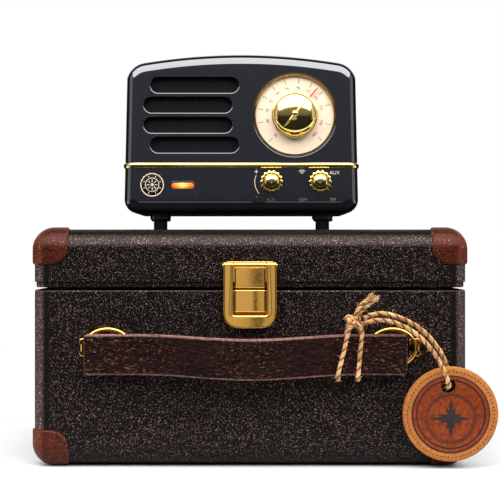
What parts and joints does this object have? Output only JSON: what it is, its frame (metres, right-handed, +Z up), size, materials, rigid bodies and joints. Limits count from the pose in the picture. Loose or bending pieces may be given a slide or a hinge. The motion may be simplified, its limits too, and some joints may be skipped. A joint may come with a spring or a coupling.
{
  "type": "mini radio with leather carrying case",
  "caption": "Small metal-cased radio with speaker slots, round tuning dial and turning knobs, standing on a leather-covered carrying case with lid, clasp, strap handle and tag.",
  "frame": {"origin": "on the floor, under the middle of the whole object's box (cord pieces left out)", "axes": "+X to the right seen from the front, +Y from front to back, +Z up"},
  "size_m": [0.168, 0.1162, 0.1526],
  "materials": {
    "case_leather": "dark brown-black pebbled leather, semi-gloss",
    "lining": "short-napped brown lining over foam",
    "cap_leather": "reddish brown moulded leather, satin",
    "strap_leather": "dark red-brown wrinkled leather, satin",
    "tag_leather": "tan and red-brown vegetable-tanned leather, stitched rim",
    "jute": "rough two-ply jute twine",
    "brass": "polished brass",
    "black_enamel": "high-gloss baked enamel",
    "black_plastic": "matt moulded plastic",
    "foot_black": "black plastic, semi-gloss",
    "grille_cloth": "black woven speaker cloth",
    "steel": "plated steel",
    "cone_paper": "dark pressed paper",
    "circuit": "green solder mask",
    "dial_cream": "cream dial card, satin",
    "pointer_red": "red lacquer",
    "amber_lens": "translucent amber window, lit from behind"
  },
  "bodies": {
    "case_base": {"base_shell": "case_leather", "foam_insert": "lining", "corner_cap_lower_front_left": "cap_leather", "corner_cap_lower_front_right": "cap_leather", "corner_cap_lower_rear_left": "cap_leather", "corner_cap_lower_rear_right": "cap_leather", "hinge_base_leaf_left": "brass", "hinge_base_leaf_right": "brass", "clasp_catch": "brass", "ring_anchor_left": "brass", "ring_anchor_right": "brass"},
    "lid": {"lid_shell": "case_leather", "lid_lining": "lining", "corner_cap_upper_front_left": "cap_leather", "corner_cap_upper_front_right": "cap_leather", "corner_cap_upper_rear_left": "cap_leather", "corner_cap_upper_rear_right": "cap_leather", "hinge_lid_leaf_left": "brass", "hinge_lid_leaf_right": "brass", "clasp_lid_plate": "brass", "clasp_pin": "brass"},
    "hasp": {"clasp_hasp": "brass"},
    "catch_button": {"clasp_button": "brass"},
    "handle": {"handle_strap": "strap_leather", "strap_lining": "strap_leather", "twine_hitch": "jute"},
    "ring_left": {"handle_ring_left": "brass"},
    "ring_right": {"handle_ring_right": "brass"},
    "tag": {"tag_disc": "tag_leather", "twine_lead": "jute"},
    "radio": {"radio_casing": "black_enamel", "radio_rear_cover": "black_enamel", "trim_band": "brass", "speaker_grille": "grille_cloth", "speaker_frame": "steel", "speaker_cone": "cone_paper", "speaker_magnet": "steel", "circuit_board": "circuit", "battery_pack": "black_plastic", "tuning_gang": "steel", "volume_pot": "black_plastic", "mode_switch": "black_plastic", "dial_plate": "dial_cream", "dial_bezel": "brass", "indicator_lens": "amber_lens", "emblem_badge": "brass", "foot_front_left": "foot_black", "foot_front_right": "foot_black", "foot_rear_left": "foot_black", "foot_rear_right": "foot_black", "rear_screw_1": "steel", "rear_screw_2": "steel", "rear_screw_3": "steel", "rear_screw_4": "steel", "usb_socket": "steel", "aux_socket": "black_plastic"},
    "tuning": {"tuning_knob": "brass", "tuning_pointer": "pointer_red"},
    "volume": {"volume_knob": "brass"},
    "mode": {"mode_knob": "brass"}
  },
  "joints": [
    {"name": "lid_hinge", "type": "hinge", "parent": "case_base", "child": "lid", "pos_m": [0, 0.05675, 0.06445], "axis": [-1, 0, 0], "range_deg": [0, 100]},
    {"name": "hasp_swing", "type": "hinge", "parent": "lid", "child": "hasp", "pos_m": [0, -0.04775, 0.0729], "axis": [-1, 0, 0], "range_deg": [0, 110]},
    {"name": "button_press", "type": "slide", "parent": "case_base", "child": "catch_button", "axis": [0, 1, 0], "range_m": [0, 0.0006], "stiffness_N_per_m": 800, "springref_m": -0.0005},
    {"name": "handle_pull", "type": "slide", "parent": "case_base", "child": "handle", "axis": [0, -1, 0], "range_m": [0, 0.0083]},
    {"name": "ring_left_swing", "type": "hinge", "parent": "case_base", "child": "ring_left", "pos_m": [-0.0593, -0.04755, 0.0434], "axis": [0, 0, -1], "range_deg": [0, 30.5]},
    {"name": "ring_right_swing", "type": "hinge", "parent": "case_base", "child": "ring_right", "pos_m": [0.0593, -0.04755, 0.0434], "axis": [0, 0, 1], "range_deg": [0, 30.5]},
    {"name": "tag_swing", "type": "hinge", "parent": "handle", "child": "tag", "pos_m": [0.0378, -0.04885, 0.0524], "axis": [-1, 0, 0], "range_deg": [0, 60]},
    {"name": "radio_lift", "type": "slide", "parent": "lid", "child": "radio", "axis": [0, 0, 1], "range_m": [0, 0.08]},
    {"name": "tuning_turn", "type": "hinge", "parent": "radio", "child": "tuning", "pos_m": [0.0169, -0.02115, 0.1294], "axis": [0, 1, 0], "range_deg": [-175, 95]},
    {"name": "volume_turn", "type": "hinge", "parent": "radio", "child": "volume", "pos_m": [0.0081, -0.02115, 0.104], "axis": [0, 1, 0], "range_deg": [-150, 150]},
    {"name": "mode_turn", "type": "hinge", "parent": "radio", "child": "mode", "pos_m": [0.0264, -0.02115, 0.104], "axis": [0, 1, 0], "range_deg": [-90, 180]}
  ],
  "couplings": [
    {"joint": "ring_left_swing", "follows": "handle_pull", "rad_per_m": 63.1},
    {"joint": "ring_right_swing", "follows": "handle_pull", "rad_per_m": 63.1}
  ]
}
